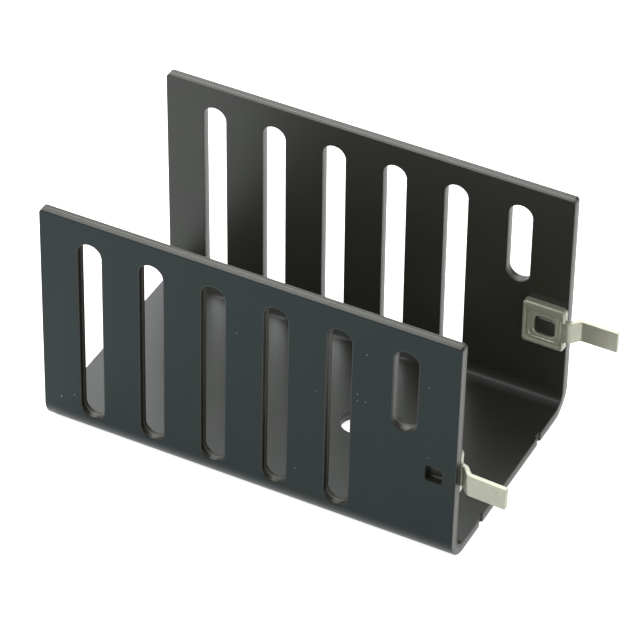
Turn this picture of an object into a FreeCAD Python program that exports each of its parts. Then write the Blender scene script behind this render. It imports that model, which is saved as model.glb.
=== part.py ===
import FreeCAD, Part
import math
import os

# Transistor heatsink, in millimetres: a channel punched and folded from one black
# anodised sheet, with a tinned solder tab staked to the inside of each flange.
# The origin is the axis of the device hole on the underside of the base. X runs
# to the tab end, Y across the channel and Z up to its open side.

# Channel
channel_length = 50.8
channel_width = 30.45
channel_height = 30.15
sheet_thickness = 1.27
inner_bend_radius = 1.83
flange_toe_in_degrees = 0.7
flange_corner_radius = 0.4

# Hole for the device's screw
device_hole_diameter = 3.81
device_hole_from_tab_end = 19.05

# Cooling slots in each flange
slot_width = 2.88
slot_pitch = 7.6
first_slot_from_plain_end = 6.2
short_slot_from_tab_end = 6.35
slot_below_flange_top = 2.78
short_slot_above_tab = 1.64

# Notches that the cut-off tool leaves in the tab end of the base
notch_spacing = 15.3
notch_width = 0.9
notch_depth = 0.3

# Stake, pushed through from outside to hold a tab
stake_from_tab_end = 2.62
stake_height_above_underside = 12.0
stake_punch_width = 2.0
stake_punch_depth = 1.0
stake_corner_radius = 0.2
stake_boss_height = 0.45
stake_boss_top_gap = 0.35

# Solder tab: a plate with a square opening, and a leg that steps out past the flange
tab_thickness = 0.7
tab_plate_width = 5.2
tab_plate_below_stake = 2.72
tab_plate_above_stake = 3.1
tab_plate_edge_radius = 0.18
tab_plate_corner_past_edge_radius = 0.47
tab_rim_above_sheet = 0.2
tab_lip_above_sheet = 0.08
tab_ring_corner_radius = 0.4
tab_opening_width = 2.75
tab_opening_corner_radius = 0.5
tab_ring_width = 0.5
tab_lip_width = 0.3
tab_leg_width = 2.55
tab_leg_past_flange = 5.9
tab_step_past_flange = 0.12
tab_step_angle_degrees = 46.0
tab_bend_radius = 0.25

# Values that follow from the sizes above
outer_bend_radius = inner_bend_radius + sheet_thickness
half_width = channel_width / 2
toe_in = math.radians(flange_toe_in_degrees)
bend_centre_y = half_width - outer_bend_radius
tab_end = device_hole_from_tab_end
plain_end = tab_end - channel_length
flange_rise = (channel_height - outer_bend_radius * (1 + math.sin(toe_in))) / math.cos(toe_in)
flange_top = outer_bend_radius + flange_rise
flange_inside = half_width - sheet_thickness
slot_top = flange_top - slot_below_flange_top
stake_x = tab_end - stake_from_tab_end
stake_z = stake_height_above_underside
tab_plate_height = tab_plate_below_stake + tab_plate_above_stake
tab_plate_middle_z = stake_z + (tab_plate_above_stake - tab_plate_below_stake) / 2
tab_plate_corner_radius = tab_plate_edge_radius + tab_plate_corner_past_edge_radius
short_slot_bottom = stake_z + tab_plate_above_stake + short_slot_above_tab
cut_margin = 1.0


def arc(centre, radius, start_degrees, end_degrees, point_at):
    # Arc edge about a centre; point_at turns a pair of flat coordinates into a vector.
    points = []
    for angle in (start_degrees, (start_degrees + end_degrees) / 2, end_degrees):
        turn = math.radians(angle)
        across = centre[0] + radius * math.cos(turn)
        up = centre[1] + radius * math.sin(turn)
        points.append(point_at(across, up))
    return Part.Arc(*points).toShape()


def line(start, end, point_at):
    return Part.makeLine(point_at(*start), point_at(*end))


def end_point(edge, last):
    vertex = edge.Vertexes[-1] if last else edge.Vertexes[0]
    return vertex.Point


def flange_corner(depth):
    # Top corner of the +Y flange, at a depth into the sheet from its outer face.
    reach = outer_bend_radius - depth
    across = bend_centre_y + reach * math.cos(toe_in) - flange_rise * math.sin(toe_in)
    up = outer_bend_radius + reach * math.sin(toe_in) + flange_rise * math.cos(toe_in)
    return (across, up)


def half_profile():
    # Half of the folded section, from the middle of the base to the top of one flange.
    def at(across, up):
        return FreeCAD.Vector(plain_end, across, up)

    def foot(depth):
        return (bend_centre_y, depth)

    def bend_end(depth):
        reach = outer_bend_radius - depth
        across = bend_centre_y + reach * math.cos(toe_in)
        up = outer_bend_radius + reach * math.sin(toe_in)
        return (across, up)

    bend_centre = (bend_centre_y, outer_bend_radius)
    inside = sheet_thickness
    edges = [
        line((0, 0), foot(0), at),
        arc(bend_centre, outer_bend_radius, -90, flange_toe_in_degrees, at),
        line(bend_end(0), flange_corner(0), at),
        line(flange_corner(0), flange_corner(inside), at),
        line(flange_corner(inside), bend_end(inside), at),
        arc(bend_centre, inner_bend_radius, flange_toe_in_degrees, -90, at),
        line(foot(inside), (0, inside), at),
        line((0, inside), (0, 0), at),
    ]
    return Part.Face(Part.Wire(edges))


def lean(shape):
    # Tips what was drawn on an upright +Y flange over to the flange's toe-in.
    leaning = shape.copy()
    bend_axis = FreeCAD.Vector(0, bend_centre_y, outer_bend_radius)
    leaning.rotate(bend_axis, FreeCAD.Vector(1, 0, 0), flange_toe_in_degrees)
    return leaning


def other_side(shape):
    return shape.mirror(FreeCAD.Vector(0, 0, 0), FreeCAD.Vector(0, 1, 0))


def slot_cutter(middle_x, bottom, top):
    # Slot with full-round ends, cut through the +Y flange.
    start_y = flange_inside - cut_margin

    def at(along, up):
        return FreeCAD.Vector(along, start_y, up)

    radius = slot_width / 2
    low = bottom + radius
    high = top - radius
    edges = [
        arc((middle_x, high), radius, 0, 180, at),
        line((middle_x - radius, high), (middle_x - radius, low), at),
        arc((middle_x, low), radius, 180, 360, at),
        line((middle_x + radius, low), (middle_x + radius, high), at),
    ]
    depth = sheet_thickness + 2 * cut_margin
    return Part.Face(Part.Wire(edges)).extrude(FreeCAD.Vector(0, depth, 0))


def rounded_block(width, depth, height, radius, middle_x, start_y, middle_z):
    # Block with its four edges along Y rounded.
    corner = FreeCAD.Vector(middle_x - width / 2, start_y, middle_z - height / 2)
    block = Part.makeBox(width, depth, height, corner)
    along_y = [edge for edge in block.Edges if abs(edge.tangentAt(edge.FirstParameter).y) > 0.99]
    return block.makeFillet(radius, along_y)


def flange_slots():
    # The long slots stand in a row from the plain end, up to the short one above the tab.
    row_length = channel_length - first_slot_from_plain_end - short_slot_from_tab_end
    long_slot_count = int(row_length / slot_pitch)
    cutters = []
    for index in range(long_slot_count):
        middle_x = plain_end + first_slot_from_plain_end + index * slot_pitch
        cutters.append(slot_cutter(middle_x, outer_bend_radius, slot_top))
    short_slot_x = tab_end - short_slot_from_tab_end
    cutters.append(slot_cutter(short_slot_x, short_slot_bottom, slot_top))
    return cutters


def stake_recess():
    depth = stake_punch_depth + cut_margin
    start_y = half_width - stake_punch_depth
    return rounded_block(stake_punch_width, depth, stake_punch_width, stake_corner_radius,
                         stake_x, start_y, stake_z)


def stake_boss():
    # The metal pushed in fills the tab's opening, apart from a gap at its top.
    height = tab_opening_width - stake_boss_top_gap
    depth = stake_boss_height + sheet_thickness / 4
    start_y = flange_inside - stake_boss_height
    middle_z = stake_z - stake_boss_top_gap / 2
    corner_radius = tab_opening_corner_radius + stake_corner_radius / 2
    return rounded_block(tab_opening_width, depth, height,
                         corner_radius, stake_x, start_y, middle_z)


def notch_cutter(middle_y):
    # Shallow round-bottomed notch in the end edge of the base.
    start = FreeCAD.Vector(tab_end - notch_depth, middle_y - notch_width / 2, -cut_margin)
    block = Part.makeBox(notch_depth + cut_margin, notch_width, sheet_thickness + 2 * cut_margin, start)
    inner = [edge for edge in block.Edges
             if abs(edge.tangentAt(edge.FirstParameter).z) > 0.99
             and edge.Vertexes[0].X < tab_end]
    return block.makeFillet(min(notch_width, notch_depth) / 2, inner)


def flange_corners(channel):
    # The four short edges through the sheet where a flange's top meets its ends.
    corners = []
    for edge in channel.Edges:
        ends = [vertex.Point for vertex in edge.Vertexes]
        at_end = all(min(abs(point.x - plain_end), abs(point.x - tab_end)) < 1e-6 for point in ends)
        at_top = all(point.z > flange_top - sheet_thickness / 2 for point in ends)
        if at_end and at_top:
            corners.append(edge)
    return corners


def make_channel():
    half = half_profile().extrude(FreeCAD.Vector(channel_length, 0, 0))
    channel = half.fuse(other_side(half)).removeSplitter()
    channel = channel.makeFillet(flange_corner_radius, flange_corners(channel))
    for cutter in flange_slots() + [stake_recess()]:
        leaning = lean(cutter)
        channel = channel.cut(leaning).cut(other_side(leaning))
    boss = lean(stake_boss())
    channel = channel.fuse(boss).fuse(other_side(boss)).removeSplitter()
    hole = Part.makeCylinder(device_hole_diameter / 2, sheet_thickness + 2 * cut_margin,
                             FreeCAD.Vector(0, 0, -cut_margin))
    channel = channel.cut(hole)
    for side in (-1, 1):
        channel = channel.cut(notch_cutter(side * notch_spacing / 2))
    return channel


def leg_outline():
    # Plan of the leg: along the plate, a step out by the sheet's thickness, then straight.
    half_tab = tab_thickness / 2
    step_angle = math.radians(tab_step_angle_degrees)
    inner_y = flange_inside - half_tab
    outer_y = half_width - half_tab
    middle_radius = tab_bend_radius + half_tab
    step_start = tab_end + tab_step_past_flange
    rise_in_bends = 2 * middle_radius * (1 - math.cos(step_angle))
    straight = (outer_y - inner_y - rise_in_bends) / math.sin(step_angle)
    step_run = 2 * middle_radius * math.sin(step_angle) + straight * math.cos(step_angle)
    first_centre = (step_start, inner_y + middle_radius)
    second_centre = (step_start + step_run, outer_y - middle_radius)
    leg_start = stake_x + tab_plate_width / 2 - tab_bend_radius
    leg_tip = tab_end + tab_leg_past_flange
    bottom = stake_z - tab_leg_width / 2

    def at(along, across):
        return FreeCAD.Vector(along, across, bottom)

    turn = tab_step_angle_degrees
    back_bend = arc(first_centre, middle_radius - half_tab, -90, turn - 90, at)
    back_bend_out = arc(second_centre, middle_radius + half_tab, turn + 90, 90, at)
    front_bend_out = arc(second_centre, middle_radius - half_tab, 90, turn + 90, at)
    front_bend = arc(first_centre, middle_radius + half_tab, turn - 90, -90, at)
    corners = [
        at(leg_start, inner_y + half_tab),
        at(leg_tip, outer_y + half_tab),
        at(leg_tip, outer_y - half_tab),
        at(leg_start, inner_y - half_tab),
    ]
    edges = [
        Part.makeLine(corners[0], end_point(back_bend, False)),
        back_bend,
        Part.makeLine(end_point(back_bend, True), end_point(back_bend_out, False)),
        back_bend_out,
        Part.makeLine(end_point(back_bend_out, True), corners[1]),
        Part.makeLine(corners[1], corners[2]),
        Part.makeLine(corners[2], end_point(front_bend_out, False)),
        front_bend_out,
        Part.makeLine(end_point(front_bend_out, True), end_point(front_bend, False)),
        front_bend,
        Part.makeLine(end_point(front_bend, True), corners[3]),
        Part.makeLine(corners[3], corners[0]),
    ]
    return Part.Face(Part.Wire(edges))


def tab_block(width, height, from_flange, radius, middle_z):
    # Rounded block over the stake, from this far off the flange's inner face outwards.
    start_y = flange_inside - from_flange - cut_margin
    return rounded_block(width, cut_margin, height, radius, stake_x, start_y, middle_z)


def make_tab():
    # Tab of the +Y flange: its plate lies on the flange and its opening takes the stake.
    # The plate's rim stands proud, apart from where the leg runs off it, and the opening
    # has a low lip of its own.
    rim_height = tab_thickness + tab_rim_above_sheet
    front_y = flange_inside - rim_height
    plate = rounded_block(tab_plate_width, rim_height, tab_plate_height,
                          tab_plate_corner_radius, stake_x, front_y, tab_plate_middle_z)
    front_edges = [edge for edge in plate.Edges
                   if all(abs(vertex.Y - front_y) < 1e-6 for vertex in edge.Vertexes)]
    plate = plate.makeFillet(tab_plate_edge_radius, front_edges)
    lip_outside = tab_opening_width + 2 * tab_lip_width
    ring_outside = lip_outside + 2 * tab_ring_width
    lip = tab_block(lip_outside, lip_outside, tab_thickness, tab_ring_corner_radius, stake_z)
    above_lip = tab_block(lip_outside, lip_outside, tab_thickness + tab_lip_above_sheet,
                          tab_ring_corner_radius, stake_z)
    ring = tab_block(ring_outside, ring_outside, tab_thickness, tab_ring_corner_radius, stake_z)
    gap_start = FreeCAD.Vector(stake_x + lip_outside / 2 + tab_ring_width / 2,
                               front_y - cut_margin, stake_z - tab_leg_width / 2)
    rim_gap = Part.makeBox(tab_plate_width, cut_margin + tab_rim_above_sheet, tab_leg_width, gap_start)
    leg = leg_outline().extrude(FreeCAD.Vector(0, 0, tab_leg_width))
    opening = rounded_block(tab_opening_width, rim_height + 2 * cut_margin, tab_opening_width,
                            tab_opening_corner_radius, stake_x, front_y - cut_margin, stake_z)
    plate = plate.cut(ring.cut(lip)).cut(above_lip).cut(rim_gap)
    tab = plate.fuse(leg).removeSplitter().cut(opening)
    return lean(tab)


os.makedirs("parts", exist_ok=True)
left_tab = make_tab()
pieces = {
    "channel": make_channel(),
    "left_solder_tab": left_tab,
    "right_solder_tab": other_side(left_tab),
}
for name, shape in pieces.items():
    solid = shape.Solids[0]
    box = solid.BoundBox
    print(name, len(shape.Solids), "solid", solid.isValid(), round(solid.Volume, 2),
          [round(value, 3) for value in (box.XMin, box.XMax, box.YMin, box.YMax, box.ZMin, box.ZMax)])
    solid.exportStep("parts/" + name + ".step")
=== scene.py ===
import bmesh
import bpy
import math
from mathutils import Euler, Matrix, Vector


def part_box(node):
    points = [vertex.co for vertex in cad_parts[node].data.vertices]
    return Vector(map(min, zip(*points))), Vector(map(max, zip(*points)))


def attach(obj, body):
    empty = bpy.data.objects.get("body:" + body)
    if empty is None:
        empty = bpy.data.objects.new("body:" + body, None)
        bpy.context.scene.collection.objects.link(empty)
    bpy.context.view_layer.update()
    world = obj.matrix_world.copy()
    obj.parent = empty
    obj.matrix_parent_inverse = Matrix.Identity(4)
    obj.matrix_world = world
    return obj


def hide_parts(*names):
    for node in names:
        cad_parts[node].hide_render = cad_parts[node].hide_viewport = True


# Transistor heatsink: a punched and folded channel with two staked solder tabs.
# Everything is drawn in millimetres and brought to metres when a piece is finished.
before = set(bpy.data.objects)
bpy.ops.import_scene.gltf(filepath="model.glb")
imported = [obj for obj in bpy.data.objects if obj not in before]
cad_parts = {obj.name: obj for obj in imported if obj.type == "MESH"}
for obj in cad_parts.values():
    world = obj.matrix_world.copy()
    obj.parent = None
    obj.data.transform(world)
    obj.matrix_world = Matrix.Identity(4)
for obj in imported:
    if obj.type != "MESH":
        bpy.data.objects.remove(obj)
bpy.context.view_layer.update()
mm = 0.001
channelLow, channelHigh = (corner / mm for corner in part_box("channel"))
# in mm: points this close are one point, and a place this close to another counts as on it
weldDistance = 0.0005
closeBy = 0.01
# edges bent more than this are shaded sharp
creaseAngle = math.radians(38)

# the photograph's viewpoint: place in mm, turn in degrees, lens and sensor in mm
viewpoint = {
    "place": (138.86, -289.37, 278.73),
    "turn": (50.697, -0.843, 27.113),
    "lens": 211.5,
    "sensor": 36,
    "farthest": 50,
}

studio = {
    "floorSize": 3000,
    "floorColour": "#FFFFFF",
    "floorLift": 0.85,
    "worldLight": 0.42,
    "worldLean": (-0.12, 0.2, 0.22),
    "lampAim": (0, 0, 10),
    "lamps": (
        # name, watts, place, size: the large key from behind, a small fill from the front left
        ("softKey", 1.15, (-125, 255, 275), 310),
        ("smallFill", 0.2, (-113, -235, 276), 60),
    ),
}


def linearColour(hexColour):
    # sRGB hex to the linear colour that Blender's sockets take
    values = []
    for start in (1, 3, 5):
        part = int(hexColour[start:start + 2], 16) / 255
        values.append(part / 12.92 if part <= 0.04045 else ((part + 0.055) / 1.055) ** 2.4)
    return (*values, 1.0)


def newMaterial(name):
    material = bpy.data.materials.new(name)
    material.use_nodes = True
    material.node_tree.nodes.clear()
    return material


def addNode(owner, kind, settings=None, links=None):
    # settings: node properties and unlinked socket values; links: socket -> (node, output)
    tree = owner.node_tree
    node = tree.nodes.new(kind)
    for key, value in (settings or {}).items():
        if isinstance(key, str) and hasattr(node, key):
            setattr(node, key, value)
        else:
            node.inputs[key].default_value = value
    for key, (source, output) in (links or {}).items():
        tree.links.new(source.outputs[output], node.inputs[key])
    return node


def makeCamera():
    camera = bpy.data.cameras.new("photoCamera")
    camera.lens = viewpoint["lens"]
    camera.sensor_width = viewpoint["sensor"]
    camera.clip_end = viewpoint["farthest"]
    obj = bpy.data.objects.new("photoCamera", camera)
    obj.location = Vector(viewpoint["place"]) * mm
    obj.rotation_euler = Euler([math.radians(a) for a in viewpoint["turn"]])
    bpy.context.scene.collection.objects.link(obj)
    bpy.context.scene.camera = obj
    print("camera placed")


def makeAnodised():
    # black dyed anodised sheet: near-black dye under a clear oxide, which gives soft, dim
    # reflections; a little cloudy. The two sides differ by painted light: the outer side is painted
    # darker with a painted bluish reflection tint, the inner side is painted lighter and browner
    material = newMaterial("blackAnodisedSheet")
    place = addNode(material, "ShaderNodeTexCoord")
    depth = addNode(material, "ShaderNodeAttribute", {"attribute_name": "depthShare"})
    clouds = addNode(material, "ShaderNodeTexNoise", {"Scale": 1 / (5 * mm), "Detail": 3},
                     {"Vector": (place, "Object")})
    grain = addNode(material, "ShaderNodeTexNoise", {"Scale": 1 / (0.3 * mm), "Detail": 2},
                    {"Vector": (place, "Object")})

    # the inner side's painted-lighter colours and brighter sheen also cover the rolled edges of the
    # cut-outs, a painted highlight along them
    side = addNode(material, "ShaderNodeMath", {"operation": "MULTIPLY", 1: 40, "use_clamp": True},
                   {0: (depth, "Fac")})
    # painted shade: the outer side's dye is darker than the inner side's
    outerDyePaintedDarker = addNode(material, "ShaderNodeMix", {
        "data_type": "RGBA", 6: linearColour("#161B1F"), 7: linearColour("#1D1D19"),
    }, {0: (clouds, "Fac")})
    # painted light: the inner side's dye is lighter than the outer side's
    innerDyePaintedLighter = addNode(material, "ShaderNodeMix", {
        "data_type": "RGBA", 6: linearColour("#38342E"), 7: linearColour("#30352C"),
    }, {0: (clouds, "Fac")})
    dye = addNode(material, "ShaderNodeMix", {"data_type": "RGBA"},
                  {0: (side, 0), 6: (outerDyePaintedDarker, 2), 7: (innerDyePaintedLighter, 2)})
    # painted reflection: the outer side's sheen is tinted blue
    outerSheenPaintedBlue = addNode(material, "ShaderNodeMix", {
        "data_type": "RGBA", 6: linearColour("#8AB4C2"), 7: linearColour("#98B6AE"),
    }, {0: (clouds, "Fac")})
    innerSheen = addNode(material, "ShaderNodeMix", {
        "data_type": "RGBA", 6: linearColour("#E2ECF6"), 7: linearColour("#EAF2EC"),
    }, {0: (clouds, "Fac")})
    sheen = addNode(material, "ShaderNodeMix", {"data_type": "RGBA"},
                    {0: (side, 0), 6: (outerSheenPaintedBlue, 2), 7: (innerSheen, 2)})
    bump = addNode(material, "ShaderNodeBump", {"Strength": 0.25, "Distance": 0.01 * mm},
                   {"Height": (grain, "Fac")})
    shader = addNode(material, "ShaderNodeBsdfPrincipled", {
        "Roughness": 0.34, "Specular IOR Level": 0.42,
    }, {"Base Color": (dye, 2), "Specular Tint": (sheen, 2), "Normal": (bump, 0)})
    addNode(material, "ShaderNodeOutputMaterial", links={"Surface": (shader, "BSDF")})
    return material


def makeSheared():
    # punched edge under the same dye: a smooth dark cut band by the outer face, a pale line where the
    # metal tore, partly the real tear and partly a painted highlight, then the rougher torn band
    material = newMaterial("shearedEdge")
    place = addNode(material, "ShaderNodeTexCoord")
    depth = addNode(material, "ShaderNodeAttribute", {"attribute_name": "depthShare"})
    # the grain is about 1.5 mm along the edge and so fine across it that it only softens the bands
    across = addNode(material, "ShaderNodeMath", {"operation": "MULTIPLY", 1: 6}, {0: (depth, "Fac")})
    grain = addNode(material, "ShaderNodeTexNoise", {
        "noise_dimensions": "4D", "Scale": 1 / (1.5 * mm), "Detail": 3, "Roughness": 0.6,
    }, {"Vector": (place, "Object"), "W": (across, 0)})
    wander = addNode(material, "ShaderNodeMath", {"operation": "MULTIPLY_ADD", 1: 0.5},
                     {0: (grain, "Fac"), 2: (depth, "Fac")})
    bands = addNode(material, "ShaderNodeValToRGB", links={"Fac": (wander, 0)})
    stops = bands.color_ramp.elements
    stops[0].position, stops[0].color = 0.74, linearColour("#1C1C1A")
    stops[1].position, stops[1].color = 0.95, linearColour("#35352F")
    # the pale line is partly a painted highlight
    tearLineAndGlint = stops.new(0.83)
    tearLineAndGlint.color = linearColour("#6E6C63")
    rough = addNode(material, "ShaderNodeMapRange", {1: 0.65, 2: 0.95, 3: 0.3, 4: 0.48},
                    {0: (wander, 0)})
    bump = addNode(material, "ShaderNodeBump", {"Strength": 0.5, "Distance": 0.03 * mm},
                   {"Height": (grain, "Fac")})
    shader = addNode(material, "ShaderNodeBsdfPrincipled", {
        "Specular IOR Level": 0.5, "Specular Tint": linearColour("#F3F8F0"),
    }, {"Base Color": (bands, "Color"), "Roughness": (rough, 0), "Normal": (bump, 0)})
    addNode(material, "ShaderNodeOutputMaterial", links={"Surface": (shader, "BSDF")})
    return material


def makeBareMetalAndGlint():
    # aluminium laid bare where the dye is chipped: small bright points; the same bare metal is also
    # put on the boss's upper edge as a painted glint
    material = newMaterial("bareAluminiumAndGlint")
    shader = addNode(material, "ShaderNodeBsdfPrincipled", {
        "Base Color": linearColour("#989C98"), "Metallic": 0.3, "Roughness": 0.4,
    })
    addNode(material, "ShaderNodeOutputMaterial", links={"Surface": (shader, "BSDF")})
    return material


def makeTin():
    # tin plate: pale warm grey metal with a soft, slightly clouded shine
    material = newMaterial("tinPlate")
    place = addNode(material, "ShaderNodeTexCoord")
    clouds = addNode(material, "ShaderNodeTexNoise", {"Scale": 1 / (0.9 * mm), "Detail": 4},
                     {"Vector": (place, "Object")})
    colour = addNode(material, "ShaderNodeMix", {
        "data_type": "RGBA", 6: linearColour("#A8A996"), 7: linearColour("#C0C1AF"),
    }, {0: (clouds, "Fac")})
    bump = addNode(material, "ShaderNodeBump", {"Strength": 0.4, "Distance": 0.02 * mm},
                   {"Height": (clouds, "Fac")})
    shader = addNode(material, "ShaderNodeBsdfPrincipled", {"Metallic": 0.35, "Roughness": 0.33},
                     {"Base Color": (colour, 2), "Normal": (bump, 0)})
    addNode(material, "ShaderNodeOutputMaterial", links={"Surface": (shader, "BSDF")})
    return material


def ringPoint(direction, ring):
    # a circle's quarters moved apart: a round hole, a slot or a rounded square
    middle, halfSize, radius, level = ring
    x = middle[0] + math.copysign(halfSize[0] - radius, direction.x) + direction.x * radius
    y = middle[1] + math.copysign(halfSize[1] - radius, direction.y) + direction.y * radius
    return Vector((x, y, level))


def growRings(bm, rings, materialIndexes, segments=48):
    # extrudes a closed loop from ring to ring; a ring is middle, half size, corner radius, level
    halfStep = math.pi / segments
    verts = bmesh.ops.create_circle(bm, segments=segments, radius=1 / math.cos(halfStep))["verts"]
    bmesh.ops.rotate(bm, verts=verts, cent=(0, 0, 0), matrix=Matrix.Rotation(halfStep, 3, "Z"))
    directions = {vert: vert.co.copy() for vert in verts}
    for vert in verts:
        vert.co = ringPoint(directions[vert], rings[0])
    first = list(dict.fromkeys(edge for vert in verts for edge in vert.link_edges))
    edges = first
    for ring, materialIndex in zip(rings[1:], materialIndexes):
        made = bmesh.ops.extrude_edge_only(bm, edges=edges)["geom"]
        newVerts = [item for item in made if isinstance(item, bmesh.types.BMVert)]
        for face in made:
            if isinstance(face, bmesh.types.BMFace):
                face.material_index = materialIndex
        found = {}
        for vert in newVerts:
            neighbours = (edge.other_vert(vert) for edge in vert.link_edges)
            found[vert] = next(directions[old] for old in neighbours if old in directions)
        for vert, direction in found.items():
            vert.co = ringPoint(direction, ring)
        edges = [item for item in made if isinstance(item, bmesh.types.BMEdge)
                 and item.verts[0] in found and item.verts[1] in found]
        directions = found
    return first, edges


def finishPiece(bm, name, materials, nodes, settleNormals):
    # to metres, faces outwards, then a mesh object at the origin
    bmesh.ops.remove_doubles(bm, verts=bm.verts, dist=weldDistance)
    bmesh.ops.recalc_face_normals(bm, faces=bm.faces)
    bmesh.ops.scale(bm, verts=bm.verts, vec=(mm, mm, mm))
    for face in bm.faces:
        face.smooth = True
    for edge in bm.edges:
        if len(edge.link_faces) == 2 and edge.calc_face_angle() > creaseAngle:
            edge.smooth = False
    mesh = bpy.data.meshes.new(name)
    bm.to_mesh(mesh)
    bm.free()
    for material in materials:
        mesh.materials.append(material)
    obj = bpy.data.objects.new(name, mesh)
    bpy.context.scene.collection.objects.link(obj)
    settleNormals(obj)
    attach(obj, "root")
    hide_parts(*nodes)
    print(name, "has", len(mesh.polygons), "faces")
    return obj


channel = {
    "sheet": 1.27,
    "insideBend": 1.83,
    "toeIn": 0.7,
    "holeRadius": 1.905,
    "slotWidth": 2.88,
    "slotPitch": 7.6,
    "firstSlot": 6.2,
    "longSlots": 5,
    "shortSlotFromEnd": 6.35,
    "slotBelowTop": 2.78,
    "shortSlotBottom": 16.74,
    "notchSpacing": 15.3,
    "notchWidth": 0.9,
    "notchDepth": 0.3,
    "notchShoulder": 0.55,
    "notchFloor": 0.6,
    "cornerRadius": 0.4,
    "cornerSteps": 5,
    "stakeFromEnd": 2.62,
    "stakeHeight": 12.0,
    "recessWidth": 2.0,
    "recessCorner": 0.2,
    # growth of the outline and depth under the outer face
    "recessSteps": ((0.08, 0), (0.02, 0.03), (0, 0.1), (0, 0.85), (-0.12, 1.0)),
    # how far the painted highlight reaches along the recess's lower back corner
    "recessGlintReach": 0.4,
    "bossWidth": 2.55,
    "bossShift": 0.1,
    "bossHeight": 2.4,
    "bossDrop": 0.175,
    "bossCorner": 0.6,
    # growth of the outline and rise over the inner face
    "bossSteps": ((0, 0), (0, 0.3), (-0.05, 0.4), (-0.16, 0.45)),
    # reach and depth of the painted glint on the boss's upper edge
    "bossGlintReach": 0.1,
    "bossGlintDepth": 0.3,
    "edgeRoll": 0.1,
    "slotRoll": 0.2,
    "rollSteps": 4,
    "burr": 0.04,
    "bendSteps": 14,
    "stakeSegments": 24,
    "nickDepth": 0.02,
    "nickSegments": 8,
    # nicks on the outer face of the -Y flange: x, height and radius
    "nicks": (
        (-29.55, 4.66, 0.09), (-27.85, 5.55, 0.07), (-7.44, 22.26, 0.06), (2.17, 17.99, 0.05),
        (-0.09, 6.21, 0.06), (8.12, 25.28, 0.06), (7.15, 19.55, 0.07), (7.18, 18.66, 0.06),
        (8.13, 18.83, 0.06), (15.45, 23.67, 0.06), (15.77, 14.16, 0.05),
    ),
}

# the flat blank: its half width runs over the base, the bend's outer face and the flange
outerBend = channel["insideBend"] + channel["sheet"]
halfWidth = channelHigh.y
flatHalf = halfWidth - outerBend
toeIn = math.radians(channel["toeIn"])
fullTurn = math.pi / 2 + toeIn
bendRun = outerBend * fullTurn
flangeRise = (channelHigh.z - outerBend * (1 + math.sin(toeIn))) / math.cos(toeIn)
blankHalf = flatHalf + bendRun + flangeRise


def onBlank(height):
    # distance from the blank's middle of a point at this height on a flange
    return flatHalf + bendRun + height - outerBend


def rollProfile(roll):
    # a punched edge through the sheet: rolled over at the outer face, a small burr at the inner
    steps = []
    for index in range(channel["rollSteps"] + 1):
        turn = math.radians(90 * index / channel["rollSteps"])
        steps.append((roll * (1 - math.sin(turn)), roll * (1 - math.cos(turn))))
    steps.append((0, channel["sheet"] - channel["burr"]))
    steps.append((channel["burr"], channel["sheet"]))
    return steps


def perimeterLoop(bm, inset, level):
    # outline of the blank, with rounded corners and the two notches in the tab end
    right = channelHigh.x - inset
    corner = channel["cornerRadius"]
    steps = channel["cornerSteps"]
    outwards, inwards = range(steps + 1), range(steps, -1, -1)

    def cornerPoints(xSide, ySide, order):
        middleX = (channelLow.x, channelHigh.x)[xSide] + corner * (1 - 2 * xSide)
        middleY = ySide * (blankHalf - corner)
        arc = []
        for index in order:
            turn = math.radians(90 * index / steps)
            arc.append((middleX + (corner - inset) * math.cos(turn) * (2 * xSide - 1),
                        middleY + (corner - inset) * math.sin(turn) * ySide))
        return arc

    points = cornerPoints(0, 1, inwards) + cornerPoints(0, -1, outwards)
    points += cornerPoints(1, -1, inwards)
    for middle in (-channel["notchSpacing"] / 2, channel["notchSpacing"] / 2):
        wide = channel["notchWidth"] / 2 + inset
        deep = right - channel["notchDepth"]
        mid = right - channel["notchDepth"] * channel["notchShoulder"]
        narrow = wide * channel["notchFloor"]
        points += [(right, middle - wide), (mid, middle - wide), (deep, middle - narrow)]
        points += [(deep, middle + narrow), (mid, middle + wide), (right, middle + wide)]
    points += cornerPoints(1, 1, outwards)
    verts = [bm.verts.new((x, y, level)) for x, y in points]
    return [bm.edges.new(pair) for pair in zip(verts, verts[1:] + verts[:1])]


def punchedShapes():
    # middle, half size and corner radius of each cut-out through the blank
    shapes = [((0, 0), (channel["holeRadius"],) * 2, channel["holeRadius"])]
    slots = []
    top = channelHigh.z - channel["slotBelowTop"]
    for index in range(channel["longSlots"]):
        slots.append((channelLow.x + channel["firstSlot"] + index * channel["slotPitch"], outerBend))
    slots.append((channelHigh.x - channel["shortSlotFromEnd"], channel["shortSlotBottom"]))
    half = channel["slotWidth"] / 2
    for side in (-1, 1):
        for x, bottom in slots:
            middle = (x, side * onBlank((bottom + top) / 2))
            shapes.append((middle, (half, (top - bottom) / 2), half))
    return shapes


def foldBlank(bm):
    # the flat blank is bent up on both sides round the outer face's radius
    turned = bm.verts.layers.float.new("turned")
    depthShare = bm.verts.layers.float.new("depthShare")
    for vert in bm.verts:
        vert[depthShare] = vert.co.z / channel["sheet"]
        x, across, depth = vert.co
        run = abs(across) - flatHalf
        if run <= 0:
            continue
        turn = min(run / outerBend, fullTurn)
        rest = run - turn * outerBend
        reach = outerBend - depth
        out = flatHalf + reach * math.sin(turn) + rest * math.cos(turn)
        up = outerBend - reach * math.cos(turn) + rest * math.sin(turn)
        vert.co = (x, math.copysign(out, across), up)
        vert[turned] = math.copysign(turn, across)


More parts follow.
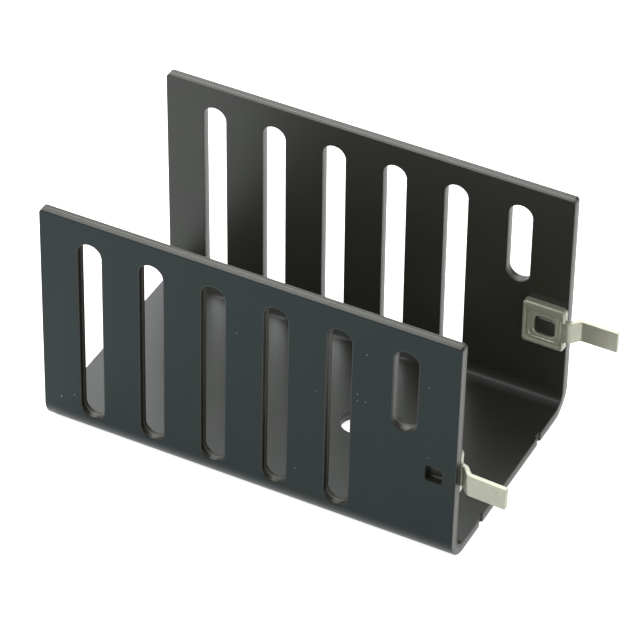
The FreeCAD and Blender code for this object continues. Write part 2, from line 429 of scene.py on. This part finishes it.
def sheetNormals(obj):
    # the sheet's faces are exactly flat or round, whatever triangles they are filled with
    mesh = obj.data
    skin = mesh.attributes["skin"].data
    turned = mesh.attributes["turned"].data
    normals = []
    for polygon in mesh.polygons:
        for index in polygon.vertices:
            normal = Vector((0, 0, 0))
            if skin[polygon.index].value:
                turn = turned[index].value
                normal = Vector((0, math.sin(turn), -math.cos(turn)))
                if normal.dot(polygon.normal) < 0:
                    normal.negate()
            normals.append(normal)
    mesh.normals_split_custom_set(normals)


def areaNormals(obj):
    weigh = obj.modifiers.new("faceWeight", "WEIGHTED_NORMAL")
    weigh.keep_sharp = True


def makeChannel(materials):
    bm = bmesh.new()
    skin = bm.faces.layers.int.new("skin")
    faceIndex, cutIndex, bareAndGlintIndex = 0, 1, 2
    sheet = channel["sheet"]
    profile = rollProfile(channel["edgeRoll"])
    slotProfile = rollProfile(channel["slotRoll"])
    indexes = [faceIndex] * channel["rollSteps"] + [cutIndex] * 2

    loops = [perimeterLoop(bm, inset, level) for inset, level in profile]
    for lower, upper, index in zip(loops, loops[1:], indexes):
        for face in bmesh.ops.bridge_loops(bm, edges=lower + upper)["faces"]:
            face.material_index = index
    outerEdges = list(loops[0])
    innerEdges = list(loops[-1])
    for middle, halfSize, radius in punchedShapes():
        rings = [(middle, (halfSize[0] + grow, halfSize[1] + grow), radius + grow, level)
                 for grow, level in slotProfile]
        first, last = growRings(bm, rings, indexes)
        outerEdges += first
        innerEdges += last

    stakeX = channelHigh.x - channel["stakeFromEnd"]
    segments = channel["stakeSegments"]
    for side in (-1, 1):
        # recess pushed in from outside
        middle = (stakeX, side * onBlank(channel["stakeHeight"]))
        half = channel["recessWidth"] / 2
        corner = channel["recessCorner"]
        rings = [(middle, (half + grow, half + grow), corner + grow, level)
                 for grow, level in channel["recessSteps"]]
        first, last = growRings(bm, rings, [faceIndex] * len(rings), segments)
        for edge in last:
            # painted highlight: the lower corner at the back of the recess gets the lighter cut-edge
            # material
            spot = edge.verts[0].co
            if side * (spot.y - middle[1]) < -half / 2 and spot.x > middle[0] - channel["recessGlintReach"]:
                for face in edge.link_faces:
                    face.material_index = cutIndex
        bmesh.ops.edgeloop_fill(bm, edges=last)
        outerEdges += first
        # boss that the pushed metal makes on the inner face
        middle = (stakeX + channel["bossShift"],
                  side * onBlank(channel["stakeHeight"] - channel["bossDrop"]))
        size = (channel["bossWidth"] / 2, channel["bossHeight"] / 2)
        corner = channel["bossCorner"]
        rings = [(middle, (size[0] + grow, size[1] + grow), corner + grow, sheet + level)
                 for grow, level in channel["bossSteps"]]
        first, last = growRings(bm, rings, [faceIndex] * len(rings), segments)
        for edge in last:
            # painted glint: bare metal is put on the end of the boss's upper edge, standing in for a
            # highlight
            spot = (edge.verts[0].co + edge.verts[1].co) / 2
            upper = side * (spot.y - middle[1]) > size[1] - channel["bossGlintDepth"]
            if upper and spot.x > middle[0] - channel["bossGlintReach"]:
                for face in edge.link_faces:
                    face.material_index = bareAndGlintIndex
        bmesh.ops.edgeloop_fill(bm, edges=last)
        innerEdges += first

    for x, height, radius in channel["nicks"]:
        middle = (x, -onBlank(height))
        rings = [(middle, (size, size), size, level)
                 for size, level in ((radius, 0), (radius / 2, channel["nickDepth"]))]
        first, last = growRings(bm, rings, [bareAndGlintIndex], channel["nickSegments"])
        for face in bmesh.ops.edgeloop_fill(bm, edges=last)["faces"]:
            face.material_index = bareAndGlintIndex
        outerEdges += first

    for edges in (outerEdges, innerEdges):
        made = bmesh.ops.triangle_fill(bm, edges=edges, use_beauty=True)["geom"]
        for item in made:
            if isinstance(item, bmesh.types.BMFace):
                item.material_index = faceIndex
                item[skin] = 1

    # cuts along the bends, so that the blank can fold
    for side in (-1, 1):
        for index in range(channel["bendSteps"] + 1):
            across = side * (flatHalf + bendRun * index / channel["bendSteps"])
            everything = bm.verts[:] + bm.edges[:] + bm.faces[:]
            bmesh.ops.bisect_plane(bm, geom=everything, plane_co=(0, across, 0), plane_no=(0, 1, 0))
    foldBlank(bm)
    return finishPiece(bm, "foldedChannel", materials, ["channel"],
                       sheetNormals)


tab = {
    "sheet": 0.58,
    "rimRise": 0.87,
    "plateWidth": 5.2,
    "plateBelow": 2.72,
    "plateAbove": 3.1,
    "plateCorner": 0.5,
    "rimRound": 0.28,
    "roundSteps": 5,
    "openingWidth": 2.55,
    "openingShift": 0.1,
    "openingCorner": 0.65,
    # width and depth of the softened edge of the opening
    "openingRound": (0.07, 0.1),
    # half size, corner radius and height of the rings from the rim in to the lip, with a fine
    # groove on each side of the sunk ring
    "sunkRings": (
        (2.27, 0.4, 0.85), (2.19, 0.35, 0.66), (2.13, 0.3, 0.5), (2.05, 0.3, 0.61),
        (1.81, 0.4, 0.63), (1.72, 0.4, 0.54), (1.64, 0.4, 0.7),
    ),
    "lipRise": 0.7,
    "rimInside": 2.07,
    "rimBlend": 0.12,
    "legWidth": 2.75,
    "legOutside": 0.17,
    "legPastFlange": 5.9,
    "stepPastFlange": 0.15,
    "stepAngle": 50,
    "bendRadius": 0.3,
    "bendSteps": 6,
    "edgeRound": 0.06,
    "edgeSegments": 2,
    "sharpAngle": 60,
    "rimMerge": 0.002,
}


def plateRings(stakeX, stakeH):
    # rings of the plate from its back, round the rim, over the sunk ring and lip, to the opening
    plateMiddle = (stakeX, stakeH + (tab["plateAbove"] - tab["plateBelow"]) / 2)
    plateHalf = (tab["plateWidth"] / 2, (tab["plateAbove"] + tab["plateBelow"]) / 2)
    soft = tab["rimRound"]
    outline = [(0, 0), (0, tab["sheet"])]
    for index in range(tab["roundSteps"] + 1):
        turn = math.radians(90 * index / tab["roundSteps"])
        outline.append((soft * (1 - math.cos(turn)), tab["rimRise"] - soft * (1 - math.sin(turn))))
    rings = []
    for inset, level in outline:
        size = (plateHalf[0] - inset, plateHalf[1] - inset)
        rings.append((plateMiddle, size, tab["plateCorner"] - inset, level))
    for half, corner, level in tab["sunkRings"]:
        rings.append(((stakeX, stakeH), (half, half), corner, level))
    middle = (stakeX + tab["openingShift"], stakeH)
    half, corner, top = tab["openingWidth"] / 2, tab["openingCorner"], tab["lipRise"]
    grow, drop = tab["openingRound"]
    for size, level in ((half + grow, top), (half, top - drop), (half, 0)):
        rings.append((middle, (size, size), corner, level))
    return rings


def pushFaces(bm, faces, vec=None, cent=None, turn=0):
    # extrudes the leg's end and moves or turns it
    made = bmesh.ops.extrude_face_region(bm, geom=faces)["geom"]
    verts = [item for item in made if isinstance(item, bmesh.types.BMVert)]
    if vec:
        bmesh.ops.translate(bm, verts=verts, vec=vec)
    else:
        bmesh.ops.rotate(bm, verts=verts, cent=cent, matrix=Matrix.Rotation(turn, 3, "Y"))
    bmesh.ops.delete(bm, geom=faces, context="FACES_ONLY")
    return [item for item in made if isinstance(item, bmesh.types.BMFace)]


def makeTab(name, node, side, splay, materials):
    # drawn flat: x along the channel, y up the flange, z out from the flange's inner face
    bm = bmesh.new()
    stakeX = channelHigh.x - channel["stakeFromEnd"]
    stakeH = channel["stakeHeight"]
    rings = plateRings(stakeX, stakeH)
    growRings(bm, rings + rings[:1], [0] * len(rings))
    bmesh.ops.remove_doubles(bm, verts=bm.verts, dist=weldDistance)
    plateRight = stakeX + tab["plateWidth"] / 2
    halfLeg = tab["legWidth"] / 2
    cuts = [stakeH + sign * (halfLeg + extra) for sign in (-1, 1) for extra in (0, tab["rimBlend"])]
    ringEdge = stakeX + tab["rimInside"]
    for height in cuts:
        faces = [face for face in bm.faces if face.calc_center_median().x > ringEdge]
        geom = list(dict.fromkeys(item for face in faces for item in (*face.verts, *face.edges)))
        geom += faces
        bmesh.ops.bisect_plane(bm, geom=geom, plane_co=(0, height, 0), plane_no=(0, 1, 0))
    # the rim is left out where the leg runs off the plate
    for vert in bm.verts:
        onLeg = abs(vert.co.y - stakeH) < halfLeg + closeBy
        if onLeg and vert.co.x > ringEdge - closeBy and vert.co.z > tab["sheet"]:
            vert.co.z = tab["sheet"]
    bmesh.ops.remove_doubles(bm, verts=bm.verts, dist=tab["rimMerge"])
    root = [face for face in bm.faces
            if abs(face.calc_center_median().x - plateRight) < closeBy
            and abs(face.calc_center_median().y - stakeH) < halfLeg
            and face.calc_center_median().z < tab["sheet"]
            and all(abs(vert.co.x - plateRight) < closeBy for vert in face.verts)]
    halfSheet = tab["sheet"] / 2
    bend = tab["bendRadius"] + halfSheet
    turn = math.radians(tab["stepAngle"])
    drop = channel["sheet"] - tab["legOutside"]
    slope = (drop - 2 * bend * (1 - math.cos(turn))) / math.sin(turn)
    stepStart = channelHigh.x + tab["stepPastFlange"]
    faces = pushFaces(bm, root, vec=(stepStart - plateRight, 0, 0))
    centre = Vector((stepStart, 0, halfSheet - bend))
    for _ in range(tab["bendSteps"]):
        faces = pushFaces(bm, faces, cent=centre, turn=turn / tab["bendSteps"])
    along = Vector((math.cos(turn), 0, -math.sin(turn)))
    faces = pushFaces(bm, faces, vec=along * slope)
    middle = Vector((stepStart + bend * math.sin(turn), 0, halfSheet - bend * (1 - math.cos(turn))))
    middle += along * slope
    centre = middle + Vector((math.sin(turn), 0, math.cos(turn))) * bend
    for _ in range(tab["bendSteps"]):
        faces = pushFaces(bm, faces, cent=centre, turn=-(turn - splay) / tab["bendSteps"])
    tip = max(vert.co.x for face in faces for vert in face.verts)
    reach = channelHigh.x + tab["legPastFlange"] - tip
    faces = pushFaces(bm, faces, vec=(reach, 0, -reach * math.tan(splay)))
    bmesh.ops.recalc_face_normals(bm, faces=bm.faces)
    sharp = [edge for edge in bm.edges
             if len(edge.link_faces) == 2 and edge.calc_face_angle() > math.radians(tab["sharpAngle"])
             and min(vert.co.x for vert in edge.verts) > plateRight + closeBy / 2]
    bmesh.ops.bevel(bm, geom=sharp, offset=tab["edgeRound"], segments=tab["edgeSegments"],
                    affect="EDGES", profile=0.5, material=-1)
    # stand it up against the flange, lean it with the toe-in, and mirror it for the -Y side
    for vert in bm.verts:
        x, height, proud = vert.co
        vert.co = (x, halfWidth - channel["sheet"] - proud, height)
    bmesh.ops.rotate(bm, verts=bm.verts, cent=(0, flatHalf, outerBend),
                     matrix=Matrix.Rotation(toeIn, 3, "X"))
    bmesh.ops.scale(bm, verts=bm.verts, vec=(1, side, 1))
    return finishPiece(bm, name, materials, [node], areaNormals)


def makeFloor():
    bm = bmesh.new()
    bmesh.ops.create_grid(bm, x_segments=1, y_segments=1, size=studio["floorSize"] * mm / 2)
    mesh = bpy.data.meshes.new("floor")
    bm.to_mesh(mesh)
    bm.free()
    floor = bpy.data.objects.new("floor", mesh)
    bpy.context.scene.collection.objects.link(floor)
    material = newMaterial("whitePaper")
    ray = addNode(material, "ShaderNodeLightPath")
    paper = addNode(material, "ShaderNodeBsdfDiffuse", {"Color": linearColour(studio["floorColour"])})
    seen = addNode(material, "ShaderNodeMath", {"operation": "MAXIMUM"},
                   {0: (ray, "Is Camera Ray"), 1: (ray, "Is Glossy Ray")})
    anySeen = addNode(material, "ShaderNodeMath", {"operation": "MAXIMUM"},
                      {0: (seen, 0), 1: (ray, "Is Transmission Ray")})
    lift = addNode(material, "ShaderNodeMath", {"operation": "MULTIPLY", 1: studio["floorLift"]},
                   {0: (anySeen, 0)})
    glow = addNode(material, "ShaderNodeEmission", links={"Strength": (lift, 0)})
    both = addNode(material, "ShaderNodeAddShader", links={0: (paper, 0), 1: (glow, 0)})
    addNode(material, "ShaderNodeOutputMaterial", links={"Surface": (both, 0)})
    mesh.materials.append(material)
    print("floor laid")


def makeLight():
    world = bpy.data.worlds.new("studioWorld")
    bpy.context.scene.world = world
    world.use_nodes = True
    world.node_tree.nodes.clear()
    # white room light, strongest from behind, above and the left
    direction = addNode(world, "ShaderNodeTexCoord")
    lean = addNode(world, "ShaderNodeVectorMath", {"operation": "DOT_PRODUCT", 1: studio["worldLean"]},
                   {0: (direction, "Generated")})
    level = addNode(world, "ShaderNodeMath", {"operation": "ADD", 1: studio["worldLight"]},
                    {0: (lean, "Value")})
    background = addNode(world, "ShaderNodeBackground", {"Color": (1, 1, 1, 1)},
                         {"Strength": (level, 0)})
    addNode(world, "ShaderNodeOutputWorld", links={"Surface": (background, 0)})
    for name, watts, place, size in studio["lamps"]:
        lamp = bpy.data.lights.new(name, "AREA")
        lamp.shape = "SQUARE"
        lamp.size = size * mm
        lamp.energy = watts
        obj = bpy.data.objects.new(name, lamp)
        obj.location = Vector(place) * mm
        aim = Vector(studio["lampAim"]) * mm - obj.location
        obj.rotation_euler = aim.to_track_quat("-Z", "Y").to_euler()
        bpy.context.scene.collection.objects.link(obj)
    print("light set")


makeCamera()
anodised = makeAnodised()
sheared = makeSheared()
tin = makeTin()
bareMetalAndGlint = makeBareMetalAndGlint()
print("materials made")
makeChannel([anodised, sheared, bareMetalAndGlint])
makeTab("leftTab", "left_solder_tab", 1, 0, [tin])
makeTab("rightTab", "right_solder_tab", -1, math.radians(3), [tin])
makeFloor()
makeLight()

bpy.context.scene.view_settings.view_transform = "Standard"
